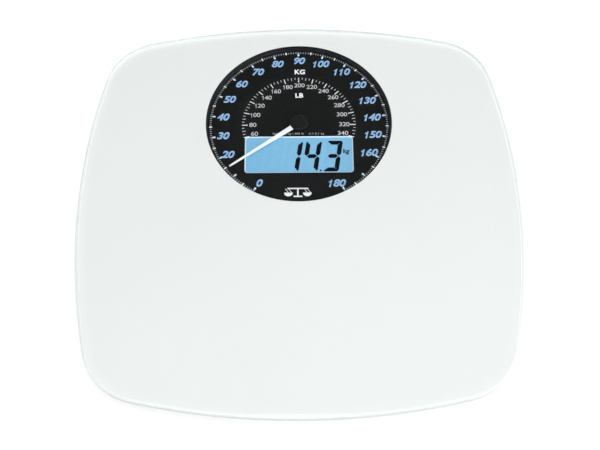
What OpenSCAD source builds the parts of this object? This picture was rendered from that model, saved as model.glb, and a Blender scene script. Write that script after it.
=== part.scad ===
// Glass bathroom scale: four load-cell feet carry a glass platform, and a sealed display
// unit bonded under the glass shows the weight on an LCD and on a motor-driven pointer.
// Millimetres. +Z up, +X to the right, +Y away from the user, towards the display.
// The origin is on the floor, under the middle of the platform.

/* [Platform] */
// Width and depth of the glass platform
platform_w = 310; // [290:1:330]
// Radius of the shallow arc that each side follows
side_arc_r = 487; // [400:1:700]
// Radius of the four corners
corner_r = 44; // [38:1:50]
// Thickness of the glass
glass_t = 6; // [5:0.5:8]
// Height of the standing surface above the floor
platform_h = 38; // [38:0.5:42]
// Width of the clear glass margin outside the printed film
clear_margin = 2; // [1:0.5:4]

/* [Display] */
// Distance of the dial centre behind the middle of the platform
dial_y = 73; // [72:0.5:75]
// Radius of the round window in the printed film
window_r = 68; // [67.5:0.25:68.5]
// Depth of the dial face below the underside of the glass
face_depth = 4.8; // [4.6:0.1:5.2]
// Width of the opening over the LCD
lcd_w = 78.6; // [70:0.2:80]
// Height of the opening over the LCD
lcd_h = 31; // [24:0.5:31]
// Distance of the opening's upper edge from the dial centre
lcd_gap = 10.5; // [10.5:0.5:12]
// Corner radius of the opening
lcd_corner = 2.5; // [1:0.5:3]
// Length of the pointer from its pivot
pointer_len = 62; // [50:0.5:62]
// Weight shown by the pointer at rest, in kilograms
shown_kg = 14.3; // [0:0.1:180]

/* [Feet] */
// Sideways distance of each foot from the middle
foot_x = 108; // [106:1:110]
// Radius of the foot carrier that is bonded to the glass
carrier_r = 25; // [24.5:0.5:26]
// Radius of the rubber pad
pad_r = 18.4; // [15:0.1:18.4]

/* [Gears] */
// Gear module
gear_m = 0.3; // [0.3:0.01:0.3]
// Teeth on both pinions
pinion_teeth = 12; // [12:1:12]
// Teeth on the intermediate wheel
middle_teeth = 48; // [48:12:48]
// Teeth on the pointer's wheel
output_teeth = 60; // [60:12:60]

/* [Hidden] */
$fn = 96;

// Heights, from the glass down
glass_z = platform_h - glass_t;
film_t = 0.4;
film_z = glass_z - film_t;
tape_t = 0.4;
flange_top = film_z - tape_t;
flange_t = 1.8;
flange_z = flange_top - flange_t;
face_top = glass_z - face_depth;
face_t = 0.8;
face_z = face_top - face_t;
chassis_t = 2;
chassis_z = face_z - chassis_t;
lcd_t = 2.2;
lcd_z = face_z - lcd_t;
board_z = 18;
board_t = 1.6;
board_top = board_z + board_t;
floor_z = 5;
floor_t = 1.6;

// Display unit radii
flange_r = 80;
shell_r = 78.6;
shell_wall = 2;
face_r = 68.8;
screw_ring_r = 73;
screw_angles = [-42, -8, 50, 130, 188, 222];
screw_boss_r = 3.4;
screw_r = 1.3;
screw_head_r = 2.5;
board_posts = [[-54, -26], [54, -26], [-40, 40], [40, 40]];

// Feet: position, then the direction of the dial from each
foot_names = ["front_left", "front_right", "rear_left", "rear_right"];
foot_pos = [[-foot_x, -foot_x], [foot_x, -foot_x], [-foot_x, foot_x], [foot_x, foot_x]];
function foot_angle(i) = atan2(dial_y - foot_pos[i][1], -foot_pos[i][0]);
function foot_reach(i) = norm([foot_pos[i][0], foot_pos[i][1] - dial_y]);
carrier_wall = 2.4;
carrier_bottom = 8;
cell_w = 30;
cell_t = 1.8;
cell_z = 20.6;

// Pointer: the scale runs clockwise from -150 degrees at 0 kg to +150 degrees at 180 kg
scale_start = -150;
deg_per_kg = 300 / 180;
shown_angle = scale_start + shown_kg * deg_per_kg;
shaft_r = 1;

// Batteries, AAA size, side by side under the LCD
battery_v = [-21.6, -33, -44.4];
battery_r = 5.2;
battery_axis_z = 11.45;
bay_u = 24;
bay_v = [-50.4, -15.6];
cover_half_w = 26.4;
cover_top = 6;
cover_t = 1.4;
cover_v = [-76, -13.6];

// Places a child in the display's own frame, or at a foot with its X axis towards the dial
module at_dial() translate([0, dial_y, 0]) children();
module at_foot(i) translate(foot_pos[i]) rotate([0, 0, foot_angle(i)]) children();
module tube(outer, inner, z0, z1) {
    translate([0, 0, z0]) difference() {
        cylinder(r = outer, h = z1 - z0);
        translate([0, 0, -1]) cylinder(r = inner, h = z1 - z0 + 2);
    }
}
module rod(r, z0, z1) translate([0, 0, z0]) cylinder(r = r, h = z1 - z0);
module block(x, y, z) {
    translate([x[0], y[0], z[0]]) cube([x[1] - x[0], y[1] - y[0], z[1] - z[0]]);
}

// ---- Platform -------------------------------------------------------------------------
// One quarter of the outline: half a side arc either side of a corner arc, inset by d
function arc(c, r, a0, a1, n) = [for (k = [0 : n]) let (a = a0 + (a1 - a0) * k / n)
    c + r * [cos(a), sin(a)]];
side_k = side_arc_r - platform_w / 2;
corner_c = (sqrt(2 * pow(side_arc_r - corner_r, 2) - side_k * side_k) - side_k) / 2;
tangent_a = atan2(corner_c, corner_c + side_k);
function quarter(d) = concat(
    arc([-side_k, 0], side_arc_r - d, -tangent_a, tangent_a, 12),
    arc([corner_c, corner_c], corner_r - d, tangent_a + 4, 86 - tangent_a, 14));
function turned(pts, a) = [for (p = pts)
    [p[0] * cos(a) - p[1] * sin(a), p[0] * sin(a) + p[1] * cos(a)]];
function outline(d) = [for (q = [0 : 3]) each turned(quarter(d), 90 * q)];

// Ground edge: each slab is [bottom, top, inset], stepping round the thickness of the glass
edge_slabs = [[0, 0.5, 1.1], [0.5, 1.4, 0.4], [1.4, glass_t - 1.4, 0],
    [glass_t - 1.4, glass_t - 0.5, 0.4], [glass_t - 0.5, glass_t, 1.1]];
module glass_platform() color("lightcyan", 0.5) {
    for (s = edge_slabs) translate([0, 0, glass_z + s[0]])
        linear_extrude(s[1] - s[0]) polygon(outline(s[2]));
}
module back_film() color("whitesmoke") {
    difference() {
        translate([0, 0, film_z]) linear_extrude(film_t) polygon(outline(clear_margin));
        at_dial() rod(window_r, film_z - 1, glass_z + 1);
    }
}

// ---- Display unit ---------------------------------------------------------------------
module tape_ring() color("dimgray") at_dial() tube(flange_r - 0.5, window_r + 1, flange_top, film_z);

// Frame: bonded flange, two steps down to the dial face, and six screw bosses
module display_frame() color("black") at_dial() {
    difference() {
        union() {
            rotate_extrude() polygon([
                [window_r + 0.6, flange_top], [window_r + 0.6, flange_top - 1.3],
                [window_r - 0.3, flange_top - 1.3], [window_r - 0.3, flange_top - 2.5],
                [window_r - 1.1, flange_top - 2.5], [window_r - 1.1, face_top],
                [window_r + 2.6, face_top], [window_r + 2.6, flange_z],
                [shell_r + 0.4, flange_z], [shell_r + 0.4, flange_z - 3.2],
                [flange_r, flange_z - 3.2], [flange_r, flange_top]]);
            for (a = screw_angles) rotate([0, 0, a]) translate([screw_ring_r, 0, 0])
                rod(screw_boss_r, face_z + 0.02, flange_z + 0.2);
        }
        for (a = screw_angles) rotate([0, 0, a]) translate([screw_ring_r, 0, 0])
            rod(screw_r + 0.05, face_z - 1, flange_z + 0.6);
    }
}
module lcd_opening(grow, z0, z1) {
    block([-lcd_w / 2 - grow, lcd_w / 2 + grow], [-lcd_gap - lcd_h - grow, -lcd_gap + grow], [z0, z1]);
}
// Face: printed plate with a round-cornered LCD window and a hole for the shaft
module dial_face() color("#101214") at_dial() difference() {
    rod(face_r, face_z, face_top);
    block([-lcd_w / 2 + lcd_corner, lcd_w / 2 - lcd_corner], [-lcd_gap - lcd_h, -lcd_gap],
        [face_z - 1, face_top + 1]);
    block([-lcd_w / 2, lcd_w / 2], [-lcd_gap - lcd_h + lcd_corner, -lcd_gap - lcd_corner],
        [face_z - 1, face_top + 1]);
    for (u = [-1, 1], v = [lcd_corner, lcd_h - lcd_corner])
        translate([u * (lcd_w / 2 - lcd_corner), -lcd_gap - v, 0]) rod(lcd_corner, face_z - 1, face_top + 1);
    rod(2.6, face_z - 1, face_top + 1);
}
// Chassis: carries the face, the LCD and the board, and is clamped by the housing screws
module dial_chassis() color("black") at_dial() difference() {
    union() {
        rod(face_r, chassis_z, face_z);
        for (a = screw_angles) rotate([0, 0, a]) {
            translate([screw_ring_r, 0, 0]) rod(screw_boss_r, chassis_z, face_z);
            block([face_r - 4, screw_ring_r], [-screw_boss_r, screw_boss_r], [chassis_z, face_z]);
        }
        for (p = board_posts) translate(p) rod(3, board_top, chassis_z + 0.1);
    }
    lcd_opening(4.2, chassis_z - 1, face_z + 1);
    rod(2.6, chassis_z - 1, face_z + 1);
    for (a = screw_angles) rotate([0, 0, a]) translate([screw_ring_r, 0, 0])
        rod(screw_r + 0.05, chassis_z - 1, face_z + 1);
    for (p = board_posts) translate(p) rod(1.05, board_top - 1, chassis_z + 0.8);
}
module lcd_panel() color("lightskyblue") at_dial() lcd_opening(4, lcd_z, face_z);
module lcd_backlight() color("white") at_dial()
    block([-lcd_w / 2 - 3, lcd_w / 2 + 3], [-lcd_gap - lcd_h + 0.5, -lcd_gap - 0.5], [lcd_z - 2.6, lcd_z]);
module lcd_connector_strips() color("lightpink") at_dial() {
    for (v = [-lcd_gap - lcd_h - 2.2, -lcd_gap + 2.2])
        block([-38, 38], [v - 1.2, v + 1.2], [board_top, lcd_z]);
}
module main_board() color("darkgreen") at_dial() difference() {
    rod(66.5, board_z, board_top);
    rod(3, board_z - 1, board_top + 1);
    for (p = board_posts) translate(p) rod(1.1, board_z - 1, board_top + 1);
}
// Controller, amplifier and motor driver on top of the board, with a row of capacitors
module board_chips() color("#202020") at_dial() {
    block([-8, 8], [30, 42], [board_top, board_top + 1.6]);
    block([-30, -20], [18, 25], [board_top, board_top + 1.4]);
    block([20, 30], [18, 25], [board_top, board_top + 1.4]);
    for (k = [0 : 5]) block([-12.5 + 4.5 * k, -10 + 4.5 * k], [48, 51], [board_top, board_top + 1]);
}
module sensor_connectors() color("ivory") {
    for (i = [0 : 3]) at_foot(i) translate([foot_reach(i) - 61, 0, 0]) difference() {
        block([-3, 3], [-3.2, 3.2], [board_top, board_top + 3.6]);
        block([-4, -1], [-1.6, 1.6], [board_top + 0.4, board_top + 3]);
    }
}
module tact_switch() color("#303030") at_dial() translate([42, 8, 0]) {
    block([-3, 3], [-3, 3], [14.5, board_z]);
    rod(1.7, 13.7, 14.6);
}
module board_screws() color("silver") at_dial() for (p = board_posts) translate(p) {
    rod(2.3, board_z - 1.5, board_z);
    rod(1, board_z - 0.2, chassis_z + 0.4);
}

// ---- Pointer motor --------------------------------------------------------------------
// Two-stage gear train: rotor pinion, intermediate wheel and pinion, pointer wheel
middle_v = gear_m * (output_teeth + pinion_teeth) / 2;
rotor_u = gear_m * (middle_teeth + pinion_teeth) / 2;
pressure_a = 25;
tooth_top = 0.8 * gear_m;
tooth_root = 1.1 * gear_m;
backlash = 0.03;
motor_u = [-11.5, 19.5];
motor_v = [-11.5, 21.5];
motor_z = 8;
motor_top = 17;
function inv(a) = tan(a) * 180 / PI - a;
function tooth_half(n, r) = 90 / n + inv(pressure_a) - inv(acos(min(1, base_r(n) / r)))
    - backlash / (gear_m * n) * 180 / PI;
function base_r(n) = gear_m * n / 2 * cos(pressure_a);
function polar(r, a) = r * [cos(a), sin(a)];
// Involute gear outline with n teeth, the first tooth centred on +X
function gear_points(n) = let (
    rr = gear_m * n / 2 - tooth_root,
    ra = gear_m * n / 2 + tooth_top,
    r0 = max(base_r(n), rr),
    radii = [for (k = [0 : 4]) r0 + (ra - r0) * k / 4])
    [for (t = [0 : n - 1]) let (c = 360 * t / n) each concat(
        [polar(rr, c - tooth_half(n, r0) * 1.02)],
        [for (r = radii) polar(r, c - tooth_half(n, r))],
        [for (k = [4 : -1 : 0]) polar(radii[k], c + tooth_half(n, radii[k]))],
        [polar(rr, c + tooth_half(n, r0) * 1.02)])];
module gear(n, z0, z1) translate([0, 0, z0]) linear_extrude(z1 - z0) polygon(gear_points(n));

module motor_base() color("dimgray") at_dial() difference() {
    union() {
        block(motor_u, motor_v, [motor_z, motor_z + 1.2]);
        difference() {
            block(motor_u, motor_v, [motor_z, motor_top]);
            block(motor_u + [1, -1], motor_v + [1, -1], [motor_z + 1, motor_top + 1]);
        }
        rod(2.4, motor_z + 1, motor_z + 2.2);
        translate([0, middle_v, 0]) rod(2, motor_z + 1, motor_z + 2.2);
        translate([rotor_u, middle_v, 0]) rod(1.8, motor_z + 1, motor_z + 1.9);
    }
    rod(shaft_r + 0.05, motor_z + 0.5, motor_z + 3);
    translate([0, middle_v, 0]) rod(0.55, motor_z + 0.5, motor_z + 3);
    translate([rotor_u, middle_v, 0]) rod(0.45, motor_z + 0.5, motor_z + 3);
}
module motor_lid() color("gray") at_dial() difference() {
    union() {
        block(motor_u, motor_v, [motor_top, board_z - 0.1]);
        rod(2, motor_top - 1.4, motor_top + 0.2);
        translate([0, middle_v, 0]) rod(2, 14.4, motor_top + 0.2);
        translate([rotor_u, middle_v, 0]) rod(1.8, 15.9, motor_top + 0.2);
    }
    rod(shaft_r + 0.05, motor_top - 2, board_z + 1);
    translate([0, middle_v, 0]) rod(0.55, 14, 15.6);
    translate([rotor_u, middle_v, 0]) rod(0.45, 15, 16.8);
}
// Coils: one beside the wheels along Y, one above the intermediate wheel along X
coil_a = [[12.6, 17.6], [-10, 3.6], [11.7, 16.7]];
coil_b = [[-9, 4], [15.2, 20.2], [12.2, 16.2]];
stator_z = [13.7, 14.7];
module motor_coils() color("orangered") at_dial() difference() {
    union() {
        block(coil_a[0], coil_a[1], coil_a[2]);
        block(coil_b[0], coil_b[1], coil_b[2]);
    }
    block([13.5, 16.7], [-11, 5], stator_z + [-0.1, 0.1]);
    block([-10, 5], [16.1, 19.3], stator_z + [-0.1, 0.1]);
}
module motor_stator() color("silver") at_dial() difference() {
    union() {
        translate([rotor_u, middle_v, 0]) rod(5.4, stator_z[0], stator_z[1]);
        block([13.6, 16.6], [-10.4, 11], stator_z);
        block([-9.4, 9], [16.2, 19.2], stator_z);
        block([7.5, 12], [14, 19.2], stator_z);
        block([12, 16.6], [6.5, 11], stator_z);
    }
    translate([rotor_u, middle_v, 0]) rod(3.4, stator_z[0] - 1, stator_z[1] + 1);
}
module rotor() color("#3a3a40") at_dial() translate([rotor_u, middle_v, 0]) {
    rod(0.4, motor_z + 0.7, 16.6);
    rotate([0, 0, 180 / pinion_teeth]) gear(pinion_teeth, 10.2, 12.3);
    rod(3, 12.3, 15.5);
}
module intermediate_wheel() color("white") at_dial() translate([0, middle_v, 0]) {
    rod(0.5, motor_z + 0.7, 15.3);
    gear(middle_teeth, 10.5, 11.6);
    rotate([0, 0, 180 / pinion_teeth]) gear(pinion_teeth, 11.6, 13.4);
}
// Pointer wheel: output gear with the long shaft that comes up through the face
module pointer_wheel() color("white") at_dial() {
    rod(shaft_r, motor_z + 0.7, face_top + 2.2);
    gear(output_teeth, 12, 13.2);
}
// Pointer: tapered white needle on a short hub that grips the shaft
module pointer() color("white") at_dial() rotate([0, 0, -shown_angle]) difference() {
    union() {
        rod(4.4, face_top + 0.6, face_top + 1.5);
        translate([0, 0, face_top + 1.4]) linear_extrude(0.8)
            polygon([[-2, -4], [2, -4], [1.8, 8], [0.6, pointer_len], [-0.6, pointer_len], [-1.8, 8]]);
    }
    rod(shaft_r + 0.02, face_top, face_top + 3);
}
module hub_cap() color("#181818") at_dial() difference() {
    union() {
        rod(6.7, face_top + 1, face_top + 2.7);
        rod(6.1, face_top + 2.6, face_top + 3.1);
    }
    rod(4.6, face_top, face_top + 1.6);
    rotate([0, 0, -shown_angle]) block([-2.1, 2.1], [-4.2, 8], [face_top, face_top + 2.25]);
}

// ---- Rear housing and batteries -------------------------------------------------------
module lead_notches(r, z0, z1) {
    for (i = [0 : 3]) at_foot(i) translate([foot_reach(i) - r, 0, 0]) block([-4, 4], [-2.2, 2.2], [z0, z1]);
}
// Housing: round tray with a battery bay, a slide-in channel for the cover and screw towers
module rear_housing() color("whitesmoke") difference() {
    at_dial() union() {
        rotate_extrude() polygon([
            [0, floor_z], [shell_r - 2.5, floor_z], [shell_r, floor_z + 2.5],
            [shell_r, flange_z - 0.2], [shell_r - shell_wall, flange_z - 0.2],
            [shell_r - shell_wall, floor_z + floor_t], [0, floor_z + floor_t]]);
        for (a = screw_angles) rotate([0, 0, a]) translate([screw_ring_r, 0, 0])
            rod(screw_boss_r, floor_z + 1, chassis_z);
        intersection() {
            block([-30, 30], [-78, -12.4], [cover_top + 0.1, cover_top + 1.8]);
            rod(shell_r - 0.5, 0, 20);
        }
        block([-bay_u - 1.2, bay_u + 1.2], bay_v + [-1.2, 1.2], [cover_top + 1, 17.8]);
        intersection() {
            union() for (s = [-1, 1])
                block(s * [28.4, 28.4] + [-1.6, 1.6], [-78, -12.4], [4.3, 7]);
            rod(shell_r - 1, 0, 20);
        }
    }
    at_dial() {
        for (a = screw_angles) rotate([0, 0, a]) translate([screw_ring_r, 0, 0]) {
            rod(screw_r + 0.15, floor_z, chassis_z + 1);
            rod(screw_head_r + 0.4, floor_z - 1, 21);
        }
        block([-bay_u, bay_u], bay_v, [floor_z - 1, 17]);
        block([-26.8, 26.8], [-79, cover_v[1] + 0.3], [4, cover_top + 0.1]);
        block([-27.8, 27.8], [-79, cover_v[1] + 0.3], [4.95, 5.75]);
        translate([42, 8, 0]) rod(5.3, floor_z - 1, floor_z + 3);
        for (s = [-1, 1], v = battery_v) block([s * 21 - 2, s * 21 + 2], [v - 1.2, v + 1.2], [16, 19]);
    }
    lead_notches(77.6, 20.8, 26);
}
module housing_screws() color("silver") at_dial() for (a = screw_angles) rotate([0, 0, a])
    translate([screw_ring_r, 0, 0]) difference() {
        union() {
            rod(screw_head_r, 19.2, 21);
            rod(screw_r, 20.8, flange_z + 0.4);
        }
        block([-0.4, 0.4], [-1.7, 1.7], [18, 20]);
        block([-1.7, 1.7], [-0.4, 0.4], [18, 20]);
    }
// AAA cell along X: d is +1 when its positive end points to +X
module battery(v, d) color("steelblue") at_dial() translate([0, v, battery_axis_z])
    rotate([0, 90 * d, 0]) {
        rod(battery_r, -21, 22.6);
        rod(1.9, 22.5, 23.4);
    }
cell_dir = [1, -1, 1];
module battery_1() battery(battery_v[0], cell_dir[0]);
module battery_2() battery(battery_v[1], cell_dir[1]);
module battery_3() battery(battery_v[2], cell_dir[2]);

// Coil spring along +X from the contact plate to the cell's flat end, as a swept hexagon
spring_turns = 4;
spring_wire = 0.3;
spring_steps = 12;
module spring() {
    n = spring_turns * spring_steps;
    ring = [for (k = [0 : n]) let (
        a = 360 * k / spring_steps,
        r = 3.6 - 1.2 * k / n,
        c = [0.32 + 1.8 * k / n, r * cos(a), r * sin(a)],
        e = [0, cos(a), sin(a)])
        each [for (j = [0 : 5]) c + spring_wire * (cos(60 * j) * e + sin(60 * j) * [1, 0, 0])]];
    sides = [for (k = [0 : n - 1], j = [0 : 5]) let (
        p = 6 * k + j,
        q = 6 * k + (j + 1) % 6)
        [p, p + 6, q + 6, q]];
    polyhedron(ring, concat(sides, [[0, 1, 2, 3, 4, 5]], [[for (j = [5 : -1 : 0]) 6 * n + j]]));
}
module battery_springs() color("silver") at_dial() for (k = [0 : 2])
    translate([-cell_dir[k] * 23.4, battery_v[k], battery_axis_z])
        rotate([0, 0, cell_dir[k] > 0 ? 0 : 180]) spring();
// Contact plates at both ends of the bay, each with a tab bent over its top to the board
module battery_contacts() color("gold") at_dial() for (v = battery_v, s = [-1, 1]) {
    translate([s * 23.7, v, 0]) block([-0.25, 0.25], [-4, 4], [7.4, 16.9]);
    translate([s * 21.7, v, 0]) block([-2.25, 2.25], [-1, 1], [16.75, 16.95]);
    translate([s * 20.4, v, 0]) block([-0.9, 0.9], [-1, 1], [16.75, board_z]);
}
// Cover: slides out towards the user, its side tongues held in the housing's grooves
module battery_cover() color("whitesmoke") at_dial() {
    intersection() {
        difference() {
            union() {
                block([-cover_half_w, cover_half_w], cover_v, [cover_top - cover_t, cover_top]);
                block([-27.5, 27.5], cover_v, [5.05, 5.65]);
            }
            for (k = [0 : 4]) block([-12, 12], [-70 + 2.6 * k, -68.8 + 2.6 * k], [4, 5]);
        }
        rod(shell_r - 2.6, 0, 10);
    }
}
module unit_button() color("gray") at_dial() translate([42, 8, 0]) {
    rod(4.6, 4.1, 4.6);
    rod(5, 4.5, 7);
    rod(6.6, 6.9, 7.8);
    rod(1.9, 7.7, 12.8);
}

// ---- Feet -----------------------------------------------------------------------------
// Carrier: puck bonded under the glass, with two rails that the load cell's frame bears on
module foot_carrier(i) color("whitesmoke") at_foot(i) difference() {
    union() {
        rod(carrier_r, film_z - 2, film_z);
        tube(carrier_r, carrier_r - carrier_wall, carrier_bottom, film_z - 1);
        intersection() {
            union() for (s = [-1, 1])
                block([-15, 15], s * [12.9, 12.9] + [-2.3, 2.3], [cell_z + cell_t, film_z - 1]);
            rod(carrier_r - 1, 0, film_z);
        }
    }
    block([carrier_r - 5, carrier_r + 1], [-2, 2], [22, 26.4]);
}
// Load cell: steel plate with a tongue cut free on three sides
module load_cell(i) color("lightslategray") at_foot(i) difference() {
    block([-cell_w, cell_w] / 2, [-cell_w, cell_w] / 2, [cell_z, cell_z + cell_t]);
    for (s = [-1, 1]) block([-10.5, 8], s * [8, 8] + [-0.9, 0.9], [cell_z - 1, cell_z + cell_t + 1]);
    block([-10.5, -8.7], [-8.9, 8.9], [cell_z - 1, cell_z + cell_t + 1]);
}
module strain_gauges() color("ivory") for (i = [0 : 3]) at_foot(i)
    block([5, 9.2], [-4, 4], [cell_z + cell_t, cell_z + cell_t + 0.8]);
// Clamp: ring that holds the load cell up against the carrier's rails
module load_cell_clamp(i) color("gainsboro") at_foot(i)
    tube(carrier_r - carrier_wall - 0.2, 10.5, cell_z - 1.9, cell_z);
// Lead route in the vertical plane through the foot and the dial: [distance, height]
lead_r = 1.2;
front_route = [[9.8, 23.8], [17, 24.2], [26, 24.6], [32, 27], [38, 28.2], [60, 28.2], [90, 28.2],
    [118, 28.2], [125, 26.8], [131, 23.8], [139, 22], [148, 21.3]];
rear_route = [[9.8, 23.8], [17, 24.2], [26, 23.8], [34, 23.2], [42, 22], [50, 21.3]];
function spline(p, k, t) = let (
    a = p[max(k - 1, 0)],
    b = p[k],
    c = p[k + 1],
    d = p[min(k + 2, len(p) - 1)])
    0.5 * (2 * b + (c - a) * t + (2 * a - 5 * b + 4 * c - d) * t * t
        + (3 * b - a - 3 * c + d) * t * t * t);
function smooth(p, n) = concat(
    [for (k = [0 : len(p) - 2], j = [0 : n - 1]) spline(p, k, j / n)], [p[len(p) - 1]]);
module sweep(path, r, sides) {
    n = len(path) - 1;
    ring = [for (k = [0 : n]) let (
        t = path[min(k + 1, n)] - path[max(k - 1, 0)],
        e = [-t[1], t[0]] / norm(t))
        each [for (j = [0 : sides - 1]) let (a = 360 * j / sides)
            [path[k][0] + r * cos(a) * e[0], r * sin(a), path[k][1] + r * cos(a) * e[1]]]];
    walls = [for (k = [0 : n - 1], j = [0 : sides - 1]) let (
        p = sides * k + j,
        q = sides * k + (j + 1) % sides)
        [p, q, q + sides, p + sides]];
    polyhedron(ring, concat(walls, [[for (j = [sides - 1 : -1 : 0]) j]],
        [[for (j = [0 : sides - 1]) sides * n + j]]));
}
module sensor_lead(i) color("dimgray") at_foot(i)
    sweep(smooth(i < 2 ? front_route : rear_route, 4), lead_r, 8);
// Channel: raceway bonded under the film that holds a front foot's lead
module lead_channel(i) color("gainsboro") at_foot(i) difference() {
    union() {
        block([38, 117], [-6, 6], [film_z - 0.8, film_z]);
        block([38, 117], [-3, 3], [26.2, film_z]);
    }
    block([37, 118], [-2, 2], [26.9, film_z + 1]);
}
module foot_cup(i) color("gainsboro") at_foot(i) difference() {
    union() {
        rotate_extrude() polygon([[0, 1.6], [23.4, 1.6], [24.4, 2.6], [24.4, 4.2], [23.6, 5],
            [21, 5], [21, 15], [19, 15], [19, 5.4], [6, 5.4], [5, 17.2], [3, 17.6],
            [3, cell_z - 0.05], [0, cell_z - 0.05]]);
        for (a = [0 : 60 : 300]) rotate([0, 0, a]) block([4, 20], [-0.8, 0.8], [5, 12]);
    }
    rod(pad_r + 0.1, 0, 2.6);
}
module foot_pad(i) color("slategray") at_foot(i) difference() {
    rotate_extrude() polygon([[0, 0], [pad_r - 0.8, 0], [pad_r, 0.8], [pad_r, 2.6], [0, 2.6]]);
    tube(8, 6.6, -1, 0.6);
    tube(14, 12.6, -1, 0.6);
}

glass_platform();
back_film();
tape_ring();
display_frame();
dial_face();
dial_chassis();
lcd_panel();
lcd_backlight();
lcd_connector_strips();
main_board();
board_chips();
sensor_connectors();
tact_switch();
board_screws();
motor_base();
motor_lid();
motor_coils();
motor_stator();
rotor();
intermediate_wheel();
pointer_wheel();
pointer();
hub_cap();
rear_housing();
housing_screws();
battery_1();
battery_2();
battery_3();
battery_springs();
battery_contacts();
battery_cover();
unit_button();
strain_gauges();
lead_channel(0);  // lead_channel_left
lead_channel(1);  // lead_channel_right
for (i = [0 : 3]) {
    foot_carrier(i);
    load_cell(i);
    load_cell_clamp(i);
    sensor_lead(i);
    foot_cup(i);
    foot_pad(i);
}
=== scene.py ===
from math import atan2, cos, degrees, hypot, pi, radians, sin, sqrt

import bmesh
import bpy
from mathutils import Matrix, Vector


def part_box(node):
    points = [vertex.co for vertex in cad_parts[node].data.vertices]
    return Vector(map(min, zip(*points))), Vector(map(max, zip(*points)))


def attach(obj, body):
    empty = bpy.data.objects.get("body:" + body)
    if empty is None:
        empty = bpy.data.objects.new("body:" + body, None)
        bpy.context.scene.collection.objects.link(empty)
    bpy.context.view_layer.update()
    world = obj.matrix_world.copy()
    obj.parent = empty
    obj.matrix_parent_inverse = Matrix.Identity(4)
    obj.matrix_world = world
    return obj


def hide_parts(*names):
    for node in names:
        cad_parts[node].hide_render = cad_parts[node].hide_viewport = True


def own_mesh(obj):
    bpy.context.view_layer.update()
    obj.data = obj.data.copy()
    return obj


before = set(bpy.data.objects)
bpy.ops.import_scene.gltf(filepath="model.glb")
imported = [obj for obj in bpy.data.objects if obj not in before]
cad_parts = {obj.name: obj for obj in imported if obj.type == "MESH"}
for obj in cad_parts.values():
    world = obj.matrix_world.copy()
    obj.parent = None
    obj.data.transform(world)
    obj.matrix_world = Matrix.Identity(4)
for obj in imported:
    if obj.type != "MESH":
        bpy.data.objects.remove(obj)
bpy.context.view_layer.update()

scene = bpy.context.scene


# ---- Studio ---------------------------------------------------------------------------
# A white table top that runs out of sight, soft panels to the left, right, front and
# overhead, and a camera on the user's side looking down at sixty-one degrees.
MM = 0.001


def set_inputs(shader, **values):
    for name, value in values.items():
        shader.inputs[name.replace("_", " ")].default_value = value


def new_material(name):
    material = bpy.data.materials.new(name)
    material.use_nodes = True
    nodes = material.node_tree.nodes
    return material, nodes, material.node_tree.links, nodes["Principled BSDF"]


def object_noise(nodes, links, scale, detail=4.0):
    """A noise texture on the piece's own coordinates; scale is in cells per metre."""
    where = nodes.new("ShaderNodeTexCoord")
    noise = nodes.new("ShaderNodeTexNoise")
    noise.inputs["Scale"].default_value = scale
    noise.inputs["Detail"].default_value = detail
    links.new(where.outputs["Object"], noise.inputs["Vector"])
    return noise


def colour_between(nodes, links, factor, low, high):
    ramp = nodes.new("ShaderNodeValToRGB")
    ramp.color_ramp.elements[0].position = 0.3
    ramp.color_ramp.elements[1].position = 0.7
    ramp.color_ramp.elements[0].color = (*low, 1)
    ramp.color_ramp.elements[1].color = (*high, 1)
    links.new(factor, ramp.inputs["Fac"])
    return ramp.outputs["Color"]


def value_between(nodes, links, factor, low, high, start=0.3, end=0.7):
    """Maps factor, as it goes from start to end, to a value from low to high."""
    spread = nodes.new("ShaderNodeMapRange")
    for socket, value in (("From Min", start), ("From Max", end), ("To Min", low), ("To Max", high)):
        spread.inputs[socket].default_value = value
    links.new(factor, spread.inputs["Value"])
    return spread.outputs["Result"]


def soft_panel(name, place, aim, width, height, watts, tint):
    lamp = bpy.data.lights.new(name, "AREA")
    lamp.shape = "RECTANGLE"
    lamp.size = width
    lamp.size_y = height
    lamp.energy = watts
    lamp.color = tint
    panel = bpy.data.objects.new(name, lamp)
    panel.location = place
    panel.rotation_euler = (Vector(aim) - Vector(place)).to_track_quat("-Z", "Y").to_euler()
    scene.collection.objects.link(panel)


table_mesh = bpy.data.meshes.new("table_top")
table_half = 6.0
table_mesh.from_pydata(
    [(-table_half, -table_half, 0), (table_half, -table_half, 0),
     (table_half, table_half, 0), (-table_half, table_half, 0)],
    [], [(0, 1, 2, 3)])
table_top = bpy.data.objects.new("table_top", table_mesh)
scene.collection.objects.link(table_top)
paint, nodes, links, shader = new_material("white_table")
set_inputs(shader, Roughness=0.9, Specular_IOR_Level=0.1, Emission_Color=(1, 1, 1, 1), Emission_Strength=0.5)
mottle = object_noise(nodes, links, 3.0)
links.new(colour_between(nodes, links, mottle.outputs["Fac"], (0.54, 0.54, 0.54), (0.56, 0.56, 0.56)),
          shader.inputs["Base Color"])
table_mesh.materials.append(paint)

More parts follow.
